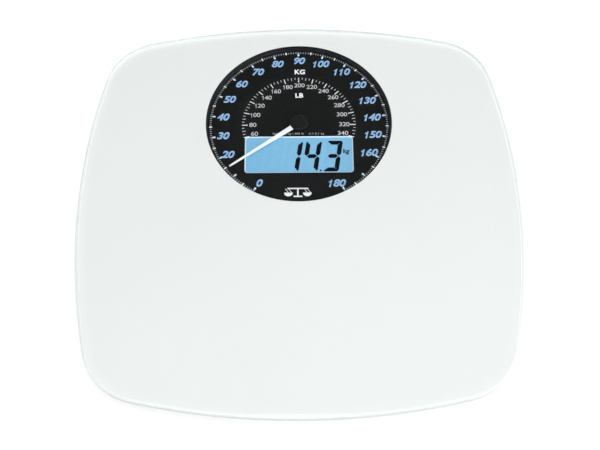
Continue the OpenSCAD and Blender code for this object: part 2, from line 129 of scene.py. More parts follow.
# The walls are pale up to the height of the lamps, brightest at the front right, where a
# window would be; the ceiling is dark
world = bpy.data.worlds.new("studio")
world.use_nodes = True
sky, join = world.node_tree.nodes, world.node_tree.links.new
heading = sky.new("ShaderNodeTexCoord")
parts = sky.new("ShaderNodeSeparateXYZ")
join(heading.outputs["Generated"], parts.inputs["Vector"])
walls = value_between(sky, world.node_tree.links, parts.outputs["Z"], 0.72, 0.03, 0.30, 0.62)
walls.node.interpolation_type = "SMOOTHSTEP"
facing = sky.new("ShaderNodeVectorMath")
facing.operation = "DOT_PRODUCT"
facing.inputs[1].default_value = (0.5, -0.86, 0)
join(heading.outputs["Generated"], facing.inputs[0])
sides = value_between(sky, world.node_tree.links, facing.outputs["Value"], 0.3, 1.5, -0.6, 0.7)
glow = sky.new("ShaderNodeMath")
glow.operation = "MULTIPLY"
join(walls, glow.inputs[0])
join(sides, glow.inputs[1])
join(glow.outputs["Value"], sky["Background"].inputs["Strength"])
sky["Background"].inputs["Color"].default_value = (0.98, 0.99, 1.0, 1)
scene.world = world
scene.view_settings.view_transform = "Standard"

soft_panel("panel_over", (0, -0.25, 2.1), (0, 0.0, 0), 2.6, 1.7, 40, (1, 1, 1))
soft_panel("panel_left", (-2.0, 0.1, 1.3), (0, 0, 0), 1.8, 1.6, 11, (1, 1, 1))
soft_panel("panel_right", (2.0, -0.2, 1.4), (0, 0, 0), 1.8, 1.6, 31, (0.98, 0.99, 1))
soft_panel("panel_front", (0.3, -2.4, 0.45), (0, -0.15, 0.03), 2.0, 0.5, 13, (1, 1, 1))

camera_data = bpy.data.cameras.new("view")
camera_data.lens = 67.26
camera_data.sensor_width = 36.0
camera_data.clip_start = 0.01
camera = bpy.data.objects.new("view", camera_data)
pitch_down, pan, tilt = 61.38, 0.16, 0.56
turn = (Matrix.Rotation(radians(pan), 4, "Z") @ Matrix.Rotation(radians(90 - pitch_down), 4, "X")
        @ Matrix.Rotation(radians(-tilt), 4, "Z"))
camera.matrix_world = Matrix.Translation((0.0014, -0.3865, 0.7172)) @ turn
scene.collection.objects.link(camera)
scene.camera = camera


# ---- Glass platform -------------------------------------------------------------------
# A square of clear tempered glass with bowed sides and round corners, its edge ground to
# a soft curve and polished. The standing surface is plain. It is bonded to everything.
def arc_points(cx, cy, r, a0, a1, n):
    """n points on an arc, the last one left out."""
    angles = [radians(a0 + (a1 - a0) * k / n) for k in range(n)]
    return [(cx + r * cos(a), cy + r * sin(a)) for a in angles]


def plate_outline(inset):
    """Bowed square: each side one shallow arc, each corner an arc tangent to both."""
    side_r, corner_r, half_width = 487 * MM, 44 * MM, 155 * MM
    k = side_r - half_width
    c = (sqrt(2 * (side_r - corner_r) ** 2 - k * k) - k) / 2
    meet = degrees(atan2(c, c + k))
    points = []
    for quarter in range(4):
        one = (arc_points(-k, 0, side_r - inset, -meet, meet, 30)
               + arc_points(c, c, corner_r - inset, meet, 90 - meet, 22))
        s, t = sin(quarter * pi / 2), cos(quarter * pi / 2)
        points += [(x * t - y * s, x * s + y * t) for x, y in one]
    return points


def add_piece(name, mesh, material, body, hides=()):
    piece = bpy.data.objects.new(name, mesh)
    scene.collection.objects.link(piece)
    mesh.materials.clear()
    mesh.materials.append(material)
    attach(piece, body)
    if hides:
        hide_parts(*hides)
    return piece


def loft(name, rings, smooth=True):
    """Closed solid through rings of equal length, its first and last rings capped flat."""
    mesh = bpy.data.meshes.new(name)
    n = len(rings[0])
    verts = [p for ring in rings for p in ring]
    faces = []
    for k in range(len(rings) - 1):
        for j in range(n):
            a, b = k * n + j, k * n + (j + 1) % n
            faces.append((a, b, b + n, a + n))
    faces.append(tuple(reversed(range(n))))
    faces.append(tuple(range(len(verts) - n, len(verts))))
    mesh.from_pydata(verts, [], faces)
    for face in mesh.polygons:
        face.use_smooth = smooth and len(face.vertices) == 4
    return mesh


glass_low, glass_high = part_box("glass_platform")
edge_round = 1.6 * MM
edge_rings = []
for z, side, sweep in ((glass_low.z, -1, range(6, -1, -1)), (glass_high.z, 1, range(7))):
    for k in sweep:
        # Quarter-round edge, from the upright band (k = 0) to the flat face (k = 6)
        a = radians(15 * k)
        inset = edge_round * (1 - cos(a))
        height = z - side * edge_round * (1 - sin(a))
        edge_rings.append([(x, y, height) for x, y in plate_outline(inset)])


def let_light_pass(nodes, links, shader, tint):
    """Lamp light goes straight through to what lies under the glass; the rest refracts."""
    see_through = nodes.new("ShaderNodeBsdfTransparent")
    see_through.inputs["Color"].default_value = tint
    rays = nodes.new("ShaderNodeLightPath")
    soft_light = nodes.new("ShaderNodeMath")
    soft_light.operation = "MAXIMUM"
    links.new(rays.outputs["Is Shadow Ray"], soft_light.inputs[0])
    links.new(rays.outputs["Is Diffuse Ray"], soft_light.inputs[1])
    pick = nodes.new("ShaderNodeMixShader")
    links.new(soft_light.outputs["Value"], pick.inputs["Fac"])
    links.new(shader.outputs["BSDF"], pick.inputs[1])
    links.new(see_through.outputs["BSDF"], pick.inputs[2])
    links.new(pick.outputs["Shader"], nodes["Material Output"].inputs["Surface"])


glass_material, nodes, links, shader = new_material("clear_glass")
set_inputs(shader, Roughness=0.0, IOR=1.5, Transmission_Weight=1.0, Base_Color=(0.965, 0.985, 0.98, 1))
smear = object_noise(nodes, links, 14.0)
links.new(value_between(nodes, links, smear.outputs["Fac"], 0.0, 0.012), shader.inputs["Roughness"])
let_light_pass(nodes, links, shader, (0.985, 0.995, 0.99, 1))
glass_mesh = loft("glass_plate", edge_rings)
add_piece("glass_plate", glass_mesh, glass_material, "platform", ["glass_platform"])
# The ground band keeps a fine satin haze that glows pale grey-green in the light
ground_edge, nodes, links, shader = new_material("ground_edge")
set_inputs(shader, IOR=1.5, Transmission_Weight=0.35, Roughness=0.3)
haze = object_noise(nodes, links, 420.0)
links.new(colour_between(nodes, links, haze.outputs["Fac"], (0.74, 0.79, 0.77), (0.78, 0.82, 0.805)),
          shader.inputs["Base Color"])
links.new(value_between(nodes, links, haze.outputs["Fac"], 0.28, 0.36), shader.inputs["Roughness"])
let_light_pass(nodes, links, shader, (0.93, 0.96, 0.95, 1))
glass_mesh.materials.append(ground_edge)
for face in glass_mesh.polygons:
    if len(face.vertices) == 4:
        face.material_index = 1


# ---- White print ----------------------------------------------------------------------
# Opaque cool-white coat on the underside of the glass, stopping short of its edge, with
# one round hole over the dial.
def finished(work, name):
    """Turns a bmesh into a mesh of this name and frees it."""
    mesh = bpy.data.meshes.new(name)
    work.to_mesh(mesh)
    work.free()
    return mesh


def plate_with_holes(name, outlines, z0, z1):
    """Flat plate: the first closed outline is its rim, the others are holes in it."""
    work = bmesh.new()
    edges = []
    for outline in outlines:
        ring = [work.verts.new((x, y, z0)) for x, y in outline]
        edges += [work.edges.new((ring[k - 1], ring[k])) for k in range(len(ring))]
    under = bmesh.ops.triangle_fill(work, edges=edges, use_beauty=True)["geom"]
    under = [f for f in under if isinstance(f, bmesh.types.BMFace)]
    grown = bmesh.ops.extrude_face_region(work, geom=under)["geom"]
    top = [v for v in grown if isinstance(v, bmesh.types.BMVert)]
    bmesh.ops.translate(work, vec=(0, 0, z1 - z0), verts=top)
    bmesh.ops.recalc_face_normals(work, faces=work.faces)
    return finished(work, name)


def middle(low, high):
    """Centre of a box in plan, as x and y."""
    return (low.x + high.x) / 2, (low.y + high.y) / 2


film_low, film_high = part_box("back_film")
face_low, face_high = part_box("dial_face")
dial = Vector((*middle(face_low, face_high), face_high.z))
window_r = 68 * MM
print_gap = 0.03 * MM
window = arc_points(dial.x, dial.y, window_r, 0, 360, 192)
print_z0, print_z1 = film_low.z, film_high.z - print_gap
rim_in = 8 * MM
print_mesh = plate_with_holes("white_print", [plate_outline(rim_in), window], print_z0, print_z1)


def print_coat(name):
    """The coat's material so far, and the clouded white to colour it with."""
    material, nodes, links, shader = new_material(name)
    set_inputs(shader, Roughness=0.35, Coat_Weight=0.1)
    cloud = object_noise(nodes, links, 9.0, 3.0)
    white = colour_between(nodes, links, cloud.outputs["Fac"], (0.802, 0.80, 0.80), (0.817, 0.815, 0.815))
    return material, nodes, links, shader, white


white_print, nodes, links, shader, white = print_coat("white_print")
links.new(white, shader.inputs["Base Color"])
speck = object_noise(nodes, links, 900.0, 2.0)
links.new(value_between(nodes, links, speck.outputs["Fac"], 0.3, 0.4), shader.inputs["Roughness"])
add_piece("white_print", print_mesh, white_print, "platform", ["back_film"])


def frame_band(name, rings, fades=None):
    """Closed band: each ring is joined to the next and the last to the first.

    Where fades are given, each ring's own value goes on the band's fade map."""
    work = bmesh.new()
    layer = work.loops.layers.uv.new("fade")
    turns = [[work.verts.new(p) for p in ring] for ring in rings]
    for k in range(len(rings)):
        here, there = turns[k - 1], turns[k]
        for j in range(len(here)):
            face = work.faces.new((here[j - 1], here[j], there[j], there[j - 1]))
            if fades:
                for loop in face.loops:
                    on_here = loop.vert in (here[j - 1], here[j])
                    loop[layer].uv = (0.5, fades[k - 1] if on_here else fades[k])
    bmesh.ops.recalc_face_normals(work, faces=work.faces)
    return finished(work, name)


def fade_value(nodes, links):
    """Where a point lies on its piece's fade map, from 0 to 1."""
    along = nodes.new("ShaderNodeUVMap")
    along.uv_map = "fade"
    split = nodes.new("ShaderNodeSeparateXYZ")
    links.new(along.outputs["UV"], split.inputs["Vector"])
    return split.outputs["Y"]


# The print is painted a little paler near its edge, a painted highlight along the glass edge: it fades over
# the outer eight millimetres
rim_out = 2 * MM
rim_rings = []
for inset, z in ((rim_out, print_z1), (rim_in, print_z1), (rim_in, print_z0), (rim_out, print_z0)):
    rim_rings.append([(x, y, z) for x, y in plate_outline(inset)])
painted_highlight_rim, nodes, links, shader, white = print_coat("painted_highlight_rim")
# Painted highlight: a paler white at the band's outer edge, fading by the fade map to the print's own white
painted_highlight_mix = nodes.new("ShaderNodeMix")
painted_highlight_mix.data_type = "RGBA"
painted_highlight_mix.inputs["B"].default_value = (0.85, 0.85, 0.85, 1)
links.new(fade_value(nodes, links), painted_highlight_mix.inputs["Factor"])
links.new(white, painted_highlight_mix.inputs["A"])
links.new(painted_highlight_mix.outputs["Result"], shader.inputs["Base Color"])
rim_mesh = frame_band("painted_highlight_rim", rim_rings, (1, 0, 0, 1))
add_piece("painted_highlight_rim", rim_mesh, painted_highlight_rim, "platform")


# ---- Display frame --------------------------------------------------------------------
# Black ABS ring moulded with two steps that lead down from the window to the dial face,
# the chassis behind it in the same plastic, and the foam tape that bonds it to the glass.
def moulded(name, low, high, rough, grain=1800.0, bump=0.05, metallic=0.0):
    """Moulded or plated finish: mottled colour, uneven sheen and a fine grain."""
    material, nodes, links, shader = new_material(name)
    set_inputs(shader, Metallic=metallic)
    cloud = object_noise(nodes, links, 60.0)
    links.new(colour_between(nodes, links, cloud.outputs["Fac"], low, high), shader.inputs["Base Color"])
    skin = object_noise(nodes, links, grain, 3.0)
    links.new(value_between(nodes, links, skin.outputs["Fac"], rough * 0.85, rough * 1.15),
              shader.inputs["Roughness"])
    relief = nodes.new("ShaderNodeBump")
    relief.inputs["Strength"].default_value = bump
    relief.inputs["Distance"].default_value = 0.1 * MM
    links.new(skin.outputs["Fac"], relief.inputs["Height"])
    links.new(relief.outputs["Normal"], shader.inputs["Normal"])
    return material


def finish_nodes(material, *names):
    """Gives CAD nodes their finish: one material each, in place of any they had."""
    for name in names:
        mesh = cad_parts[name].data
        mesh.materials.clear()
        mesh.materials.append(material)


black_abs = moulded("black_abs", (0.010, 0.010, 0.011), (0.016, 0.016, 0.018), 0.42)
finish_nodes(black_abs, "display_frame", "dial_chassis")
foam_tape = moulded("foam_tape", (0.02, 0.02, 0.02), (0.03, 0.03, 0.03), 0.9, 900.0, 0.4)
finish_nodes(foam_tape, "tape_ring")


# ---- Dial face ------------------------------------------------------------------------
# Satin black plate, screen-printed in white, grey and pale blue: a kilogram scale round
# the rim, a pound scale inside it, upright numbers, the units and a small balance sign.
dial_black = moulded("dial_black", (0.0028, 0.0028, 0.0030), (0.0040, 0.0040, 0.0043), 0.36, 2500.0, 0.03)
set_inputs(dial_black.node_tree.nodes["Principled BSDF"], Specular_IOR_Level=0.25)
finish_nodes(dial_black, "dial_face")
ink_t = 0.05 * MM
ink_z = dial.z
ink_middle = ink_z + ink_t / 2
sweep_degrees, full_kg = 300, 180


def kg_turn(kg):
    """The angle, in radians, that the pointer turns for this many kilograms."""
    return radians(kg * sweep_degrees / full_kg)


def scale_angle(kg):
    """Clockwise angle from the top of the dial: 0 kg at -150 degrees, 180 kg at +150."""
    return kg_turn(kg - full_kg / 2)


def marks_tree():
    """Flat bars in a ring. Each bar's long side points at the centre."""
    tree = bpy.data.node_groups.new("ring_of_bars", "GeometryNodeTree")
    face = tree.interface
    face.new_socket("Geometry", in_out="OUTPUT", socket_type="NodeSocketGeometry")
    for label, kind in (("Count", "NodeSocketInt"), ("Middle Radius", "NodeSocketFloat"),
                        ("Start Angle", "NodeSocketFloat"), ("Step Angle", "NodeSocketFloat"),
                        ("Bar Size", "NodeSocketVector"), ("Centre", "NodeSocketVector"),
                        ("Skip Every", "NodeSocketInt"), ("Finish", "NodeSocketMaterial")):
        face.new_socket(label, in_out="INPUT", socket_type=kind)
    n, link = tree.nodes, tree.links.new
    given = n.new("NodeGroupInput").outputs
    row = n.new("GeometryNodePoints")
    link(given["Count"], row.inputs["Count"])
    index = n.new("GeometryNodeInputIndex")
    step = n.new("ShaderNodeMath")
    step.operation = "MULTIPLY_ADD"
    link(index.outputs["Index"], step.inputs[0])
    link(given["Step Angle"], step.inputs[1])
    link(given["Start Angle"], step.inputs[2])
    spin = n.new("ShaderNodeCombineXYZ")
    back = n.new("ShaderNodeMath")
    back.operation = "MULTIPLY"
    back.inputs[1].default_value = -1.0
    link(step.outputs["Value"], back.inputs[0])
    link(back.outputs["Value"], spin.inputs["Z"])
    sine = n.new("ShaderNodeMath")
    sine.operation = "SINE"
    cosine = n.new("ShaderNodeMath")
    cosine.operation = "COSINE"
    link(step.outputs["Value"], sine.inputs[0])
    link(step.outputs["Value"], cosine.inputs[0])
    ray = n.new("ShaderNodeCombineXYZ")
    link(sine.outputs["Value"], ray.inputs["X"])
    link(cosine.outputs["Value"], ray.inputs["Y"])
    out = n.new("ShaderNodeVectorMath")
    out.operation = "MULTIPLY_ADD"
    wide = n.new("ShaderNodeCombineXYZ")
    for axis in "XYZ":
        link(given["Middle Radius"], wide.inputs[axis])
    link(ray.outputs["Vector"], out.inputs[0])
    link(wide.outputs["Vector"], out.inputs[1])
    link(given["Centre"], out.inputs[2])
    place = n.new("GeometryNodeSetPosition")
    link(row.outputs["Points"], place.inputs["Geometry"])
    link(out.outputs["Vector"], place.inputs["Position"])
    # Bars that fall on a longer mark are left out
    rest = n.new("ShaderNodeMath")
    rest.operation = "MODULO"
    link(index.outputs["Index"], rest.inputs[0])
    link(given["Skip Every"], rest.inputs[1])
    keep = n.new("ShaderNodeMath")
    keep.operation = "GREATER_THAN"
    keep.inputs[1].default_value = 0.5
    link(rest.outputs["Value"], keep.inputs[0])
    bar = n.new("GeometryNodeMeshCube")
    link(given["Bar Size"], bar.inputs["Size"])
    copies = n.new("GeometryNodeInstanceOnPoints")
    link(place.outputs["Geometry"], copies.inputs["Points"])
    link(keep.outputs["Value"], copies.inputs["Selection"])
    link(bar.outputs["Mesh"], copies.inputs["Instance"])
    link(spin.outputs["Vector"], copies.inputs["Rotation"])
    solid = n.new("GeometryNodeRealizeInstances")
    link(copies.outputs["Instances"], solid.inputs["Geometry"])
    finish = n.new("GeometryNodeSetMaterial")
    link(solid.outputs["Geometry"], finish.inputs["Geometry"])
    link(given["Finish"], finish.inputs["Material"])
    link(finish.outputs["Geometry"], n.new("NodeGroupOutput").inputs["Geometry"])
    return tree


def grown_piece(name, tree, settings, body):
    """Runs a node tree once with these inputs and keeps the result as a plain mesh."""
    carrier = bpy.data.objects.new(name + "_maker", bpy.data.meshes.new(name + "_seed"))
    scene.collection.objects.link(carrier)
    modifier = carrier.modifiers.new("make", "NODES")
    modifier.node_group = tree
    for socket in tree.interface.items_tree:
        if socket.in_out == "INPUT" and socket.name in settings:
            modifier[socket.identifier] = settings[socket.name]
    seen = carrier.evaluated_get(bpy.context.evaluated_depsgraph_get())
    mesh = bpy.data.meshes.new_from_object(seen)
    bpy.data.objects.remove(carrier)
    mesh.name = name
    piece = bpy.data.objects.new(name, mesh)
    scene.collection.objects.link(piece)
    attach(piece, body)


def ink(name, low, high, glow=0.0):
    """Screen-printing ink: slightly uneven colour over a satin surface."""
    material, nodes, links, shader = new_material(name)
    cloud = object_noise(nodes, links, 700.0, 2.0)
    colour = colour_between(nodes, links, cloud.outputs["Fac"], low, high)
    links.new(colour, shader.inputs["Base Color"])
    links.new(value_between(nodes, links, cloud.outputs["Fac"], 0.42, 0.55), shader.inputs["Roughness"])
    if glow:
        links.new(colour, shader.inputs["Emission Color"])
        set_inputs(shader, Emission_Strength=glow)
    return material


white_ink = ink("white_ink", (0.86, 0.88, 0.90), (0.95, 0.96, 0.97))
grey_ink = ink("grey_ink", (0.52, 0.53, 0.55), (0.64, 0.65, 0.67))
bars = marks_tree()


def ring_of_marks(name, count, start, step, across, along, radius, skip, material):
    """Printed bars in a ring round the dial: angles in radians, sizes in millimetres."""
    grown_piece(name, bars, {
        "Count": count, "Middle Radius": radius * MM, "Start Angle": start, "Step Angle": step,
        "Bar Size": (across * MM, along * MM, ink_t), "Centre": (dial.x, dial.y, ink_middle),
        "Skip Every": skip, "Finish": material}, "platform")


dial_marks = (
    # name, count, step in kg, mark size across and along, middle radius, skip every, ink
    ("marks_1_kg", 181, 1, 0.42, 1.3, 64.9, 5, grey_ink),
    ("marks_5_kg", 36, 5, 1.05, 2.1, 64.85, 2, white_ink),
)
for name, count, step, *rest in dial_marks:
    ring_of_marks(name, count, scale_angle(0), kg_turn(step), *rest)

# Pound scale, 60 to 340: a mark each 5 lb, longer each 10 lb and longest each 20 lb
kg_per_lb = 0.45359237
pound_rim = 41.8
skip_first = 1000  # larger than any count, so that only the first bar is left out


def pound_angle(lb):
    """The pound scale is printed with 200 lb exactly at the top."""
    return kg_turn((lb - 200) * kg_per_lb)


pound_marks = (
    # name, count, first place and step in pounds, mark size across and along, skip every, ink
    ("marks_5_lb", 57, 60, 5, 0.5, 1.7, 2, grey_ink),
    ("marks_10_lb", 29, 60, 10, 0.55, 2.4, 2, grey_ink),
    ("marks_20_lb", 16, 40, 20, 0.65, 4.2, skip_first, white_ink),
)
for name, count, first, step, across, along, skip, material in pound_marks:
    ring_of_marks(name, count, pound_angle(first), kg_turn(step * kg_per_lb), across, along,
                  pound_rim - along / 2, skip, material)


def merge_into(work, mesh, matrix, layer, shade):
    """Adds a mesh to a bmesh; shade gives each new corner its place on the ink's fade."""
    first = len(work.faces)
    mesh.transform(matrix)
    work.from_mesh(mesh)
    bpy.data.meshes.remove(mesh)
    work.faces.ensure_lookup_table()
    for face in work.faces[first:]:
        for loop in face.loops:
            loop[layer].uv = (0.5, shade(loop.vert.co))


capital_share = 0.73  # height of a capital over the size of the type


def letters(text, height, slant=0.0, heavy=0.0, thick=ink_t, spacing=1.0):
    """Flat text as a closed mesh, centred on the origin, its capitals height tall."""
    curve = bpy.data.curves.new("type", "FONT")
    curve.body = text
    curve.align_x = "CENTER"
    curve.align_y = "CENTER"
    curve.size = height / capital_share
    curve.shear = slant
    curve.offset = heavy * height
    curve.space_character = spacing
    curve.extrude = thick / 2
    curve.resolution_u = 4
    carrier = bpy.data.objects.new("type", curve)
    scene.collection.objects.link(carrier)
    seen = carrier.evaluated_get(bpy.context.evaluated_depsgraph_get())
    mesh = bpy.data.meshes.new_from_object(seen)
    bpy.data.objects.remove(carrier)
    return mesh


def printed_piece(name, items, material):
    """Joins printed items, each (mesh, x, y, fade height), into one flat piece."""
    work = bmesh.new()
    layer = work.loops.layers.uv.new("fade")
    for mesh, x, y, tall in items:
        at = Matrix.Translation((dial.x + x, dial.y + y, ink_middle))
        level = dial.y + y
        merge_into(work, mesh, at, layer, lambda co: 0.5 + (co.y - level) / tall)
    bmesh.ops.remove_doubles(work, verts=work.verts, dist=1e-7)
    add_piece(name, finished(work, name), material, "platform")


def faded_ink(name, stops):
    """Ink that changes colour along the piece's own fade map."""
    material, nodes, links, shader = new_material(name)
    ramp = nodes.new("ShaderNodeValToRGB")
    while len(ramp.color_ramp.elements) < len(stops):
        ramp.color_ramp.elements.new(0.5)
    for element, (place, colour) in zip(ramp.color_ramp.elements, stops):
        element.position = place
        element.color = (*colour, 1)
    links.new(fade_value(nodes, links), ramp.inputs["Fac"])
    links.new(ramp.outputs["Color"], shader.inputs["Base Color"])
    cloud = object_noise(nodes, links, 700.0, 2.0)
    links.new(value_between(nodes, links, cloud.outputs["Fac"], 0.42, 0.55), shader.inputs["Roughness"])
    return material


def number_one(height, stem, slant):
    """The figure 1: an upright stem with a flag, both stem wide, leaning by slant."""
    plan = [(stem * 0.7, -0.5), (stem * 0.7, 0.5), (stem * 0.05, 0.5), (-0.08, 0.36), (-0.25, 0.27),
            (-0.25, 0.27 - stem * 0.85), (-stem * 0.3, 0.31 - stem * 0.6), (-stem * 0.3, -0.5)]
    plan = [((x + slant * y) * height, y * height) for x, y in plan]
    return plate_with_holes("one", [plan], -ink_t / 2, ink_t / 2)


def number_items(text, height, slant, heavy, stem, x, y, tall):
    """Figures of one number, evenly pitched, each as (mesh, x, y, fade height)."""
    pitch = 0.725 * height
    items = []
    for k, figure in enumerate(text):
        if figure == "1":
            mesh = number_one(height, stem, slant)
            mesh.transform(Matrix.Translation((0.05 * height, 0, 0)))
        else:
            mesh = letters(figure, height, slant=slant, heavy=heavy)
            mesh.transform(Matrix.Diagonal((1.1, 1, 1, 1)))
        items.append((mesh, x + (k - (len(text) - 1) / 2) * pitch, y, tall))
    return items


blue_ink = faded_ink("blue_ink", [
    (0.0, (0.46, 0.63, 0.86)), (0.5, (0.20, 0.40, 0.72)), (1.0, (0.36, 0.56, 0.82))])
kilo_numbers = []
# Wide numbers beside the marks are moved in to stay clear of them
moved_in = {20: (-1.0, -0.5), 110: (1.0, 0), 120: (1.0, -1.0), 130: (-0.8, -1.5), 140: (-2.0, -1.0),
            150: (-1.6, 0), 180: (-2.4, -1.2)}
for kg in [0] + list(range(20, 170, 10)) + [180]:
    a = scale_angle(kg)
    reach = 58.4 - 1.1 * max(0, cos(a)) - 0.87 * len(str(kg)) * abs(sin(a))
    dx, dy = moved_in.get(kg, (0, 0))
    kilo_numbers += number_items(str(kg), 5.8 * MM, 0.24, 0.045, 0.2,
                                 (reach * sin(a) + dx) * MM, (reach * cos(a) + dy) * MM, 6 * MM)
printed_piece("kilogram_numbers", kilo_numbers, blue_ink)

pound_numbers = []
for lb in range(60, 360, 20):
    a = pound_angle(lb)
    reach = 34.7 - 0.45 * len(str(lb)) * abs(sin(a))
    lift = 1.0 if lb in (60, 340) else 0
    shift = {220: 0.9, 240: 1.4, 260: 1.6, 280: 0.9, 300: -0.6}.get(lb, 0.6 if lb in (180, 200) else 0)
    pound_numbers += number_items(str(lb), 3.7 * MM, 0, 0.008, 0.12,
                                  (reach * sin(a) + shift) * MM, (reach * cos(a) + lift) * MM, 4 * MM)
printed_piece("pound_numbers", pound_numbers, grey_ink)
printed_piece("unit_words", [
    (letters("KG", 4.2 * MM, heavy=0.05, spacing=1.08), 0.9 * MM, 47.0 * MM, 5 * MM),
    (letters("LB", 4.0 * MM, heavy=0.05, spacing=1.08), 0.3 * MM, 25.5 * MM, 5 * MM)], white_ink)
printed_piece("capacity_line", [
    (letters("MAX 180 kg / 400 lb    d = 0.1 kg", 1.6 * MM, spacing=1.22), -0.5 * MM, -8.3 * MM, 2 * MM)],
    grey_ink)

# Ten-kilogram marks: longer bars that fade from white at the inner end to dark blue outside
ten_work = bmesh.new()
ten_layer = ten_work.loops.layers.uv.new("fade")
ten_in, ten_out, ten_wide = 62.0 * MM, 66.0 * MM, 1.25 * MM
for kg in range(0, 190, 10):
    a = -scale_angle(kg)
    box_work = bmesh.new()
    bmesh.ops.create_cube(box_work, size=1.0)
    bar = finished(box_work, "bar")
    size = Matrix.Diagonal((ten_wide, ten_out - ten_in, ink_t, 1))
    out = Matrix.Translation((0, (ten_in + ten_out) / 2, ink_middle))
    place = Matrix.Translation((dial.x, dial.y, 0)) @ Matrix.Rotation(a, 4, "Z") @ out @ size
    merge_into(ten_work, bar, place, ten_layer,
               lambda co: (hypot(co.x - dial.x, co.y - dial.y) - ten_in) / (ten_out - ten_in))
mark_ink = faded_ink("mark_ink", [
    (0.0, (0.93, 0.95, 0.97)), (0.35, (0.75, 0.85, 0.95)), (0.6, (0.22, 0.38, 0.62)),
    (1.0, (0.05, 0.10, 0.18))])
add_piece("marks_10_kg", finished(ten_work, "marks_10_kg"), mark_ink, "platform")


# Balance sign at the foot of the dial: a stand, a beam and two pans, in white ink
def flat_shape(name, outlines, z0, z1):
    """Thin solid from several separate closed outlines."""
    work = bmesh.new()
    for outline in outlines:
        part = plate_with_holes("part", [outline], z0, z1)
        work.from_mesh(part)
        bpy.data.meshes.remove(part)
    return finished(work, name)


def bar_outline(x0, y0, x1, y1, wide):
    along = Vector((x1 - x0, y1 - y0)).normalized() * wide / 2
    side = Vector((-along.y, along.x))
    return [(x0 + side.x, y0 + side.y), (x0 - side.x, y0 - side.y),
            (x1 - side.x, y1 - side.y), (x1 + side.x, y1 + side.y)]


sign_x, sign_y = dial.x - 1.0 * MM, dial.y - 57.7 * MM
sign = [
    bar_outline(sign_x, sign_y - 3.1 * MM, sign_x, sign_y + 3.1 * MM, 1.1 * MM),
    bar_outline(sign_x - 7.4 * MM, sign_y + 3.1 * MM, sign_x + 7.4 * MM, sign_y + 3.1 * MM, 0.95 * MM),
    bar_outline(sign_x - 3.1 * MM, sign_y - 3.4 * MM, sign_x + 3.1 * MM, sign_y - 3.4 * MM, 1.1 * MM)]
for side in (-1, 1):
    pan_x = sign_x + side * 6.7 * MM
    pan_y = sign_y - 0.3 * MM
    hook_y = sign_y + 2.9 * MM
    sign.append(bar_outline(pan_x, pan_y, pan_x - 2.3 * MM, hook_y, 0.35 * MM))
    sign.append(bar_outline(pan_x + 0.01 * MM, hook_y, pan_x + 2.3 * MM, pan_y, 0.35 * MM))
    sign.append(arc_points(pan_x, pan_y, 3.1 * MM, 180, 360, 20) + [(pan_x + 3.1 * MM, pan_y)])
sign_mesh = flat_shape("balance_sign", sign, ink_z, ink_z + ink_t)
add_piece("balance_sign", sign_mesh, white_ink, "platform")


# ---- Display --------------------------------------------------------------------------
# Reflective LCD lit blue from behind by an acrylic light guide. Slanted black segments
# with pointed ends show the weight, with the unit beside them.
lcd_low, lcd_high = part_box("lcd_panel")


def backlit(name, low, high):
    """Lit panel: it glows in its own colour, which drifts a little from side to side."""
    material, nodes, links, shader = new_material(name)
    set_inputs(shader, Roughness=0.3, Emission_Strength=0.28)
    drift = object_noise(nodes, links, 22.0, 1.0)
    lit = colour_between(nodes, links, drift.outputs["Fac"], low, high)
    links.new(lit, shader.inputs["Base Color"])
    links.new(lit, shader.inputs["Emission Color"])
    return material


finish_nodes(backlit("lcd_lit", (0.160, 0.372, 0.565), (0.180, 0.398, 0.595)), "lcd_panel")
guide = moulded("light_guide", (0.55, 0.72, 0.85), (0.62, 0.78, 0.90), 0.2, 1200.0, 0.02)
finish_nodes(guide, "lcd_backlight")
finish_nodes(moulded("zebra_rubber", (0.6, 0.34, 0.34), (0.7, 0.42, 0.42), 0.7), "lcd_connector_strips")

digit_w, digit_h, segment_t, segment_gap = 11.4 * MM, 26.0 * MM, 3.3 * MM, 0.25 * MM
slant = 0.145
lit_segments = {"1": "bc", "4": "bcfg", "3": "abcdg"}


def segment_outline(which):
    """One of seven segments of a digit centred on the origin, upright, before the slant."""
    w, h, t, g = digit_w / 2, digit_h / 2, segment_t, segment_gap
    c = t * 0.55
    if which in "ad":
        s = 1 if which == "a" else -1
        return [(-w + g + 0.35 * t, s * h), (w - g - 0.35 * t, s * h), (w - g - 0.1 * t, s * (h - 0.2 * t)),
                (w - g - t, s * (h - t)), (-w + g + t, s * (h - t)), (-w + g + 0.1 * t, s * (h - 0.2 * t))]
    if which == "g":
        return [(-w + c + g, 0), (-w + t + g, t / 2), (w - t - g, t / 2), (w - c - g, 0),
                (w - t - g, -t / 2), (-w + t + g, -t / 2)]
    x = 1 if which in "bc" else -1
    y = 1 if which in "bf" else -1
    return [(x * w, y * (g + 0.45 * t)), (x * w, y * (h - g - 0.35 * t)),
            (x * (w - 0.2 * t), y * (h - g - 0.1 * t)), (x * (w - t), y * (h - g - t)),
            (x * (w - t), y * (g + t * 0.62)), (x * (w - 0.5 * t), y * g)]


digit_places = {"1": -4.35 * MM, "4": 9.35 * MM, "3": 24.5 * MM}
digit_y = dial.y - 27.15 * MM
sheet_t = 0.06 * MM
sheet_z = lcd_high.z


def digit_outlines(segments, x):
    outlines = []
    for which in segments:
        corners = segment_outline(which)
        outlines.append([(dial.x + x + u + slant * v, digit_y + v) for u, v in corners])
    return outlines


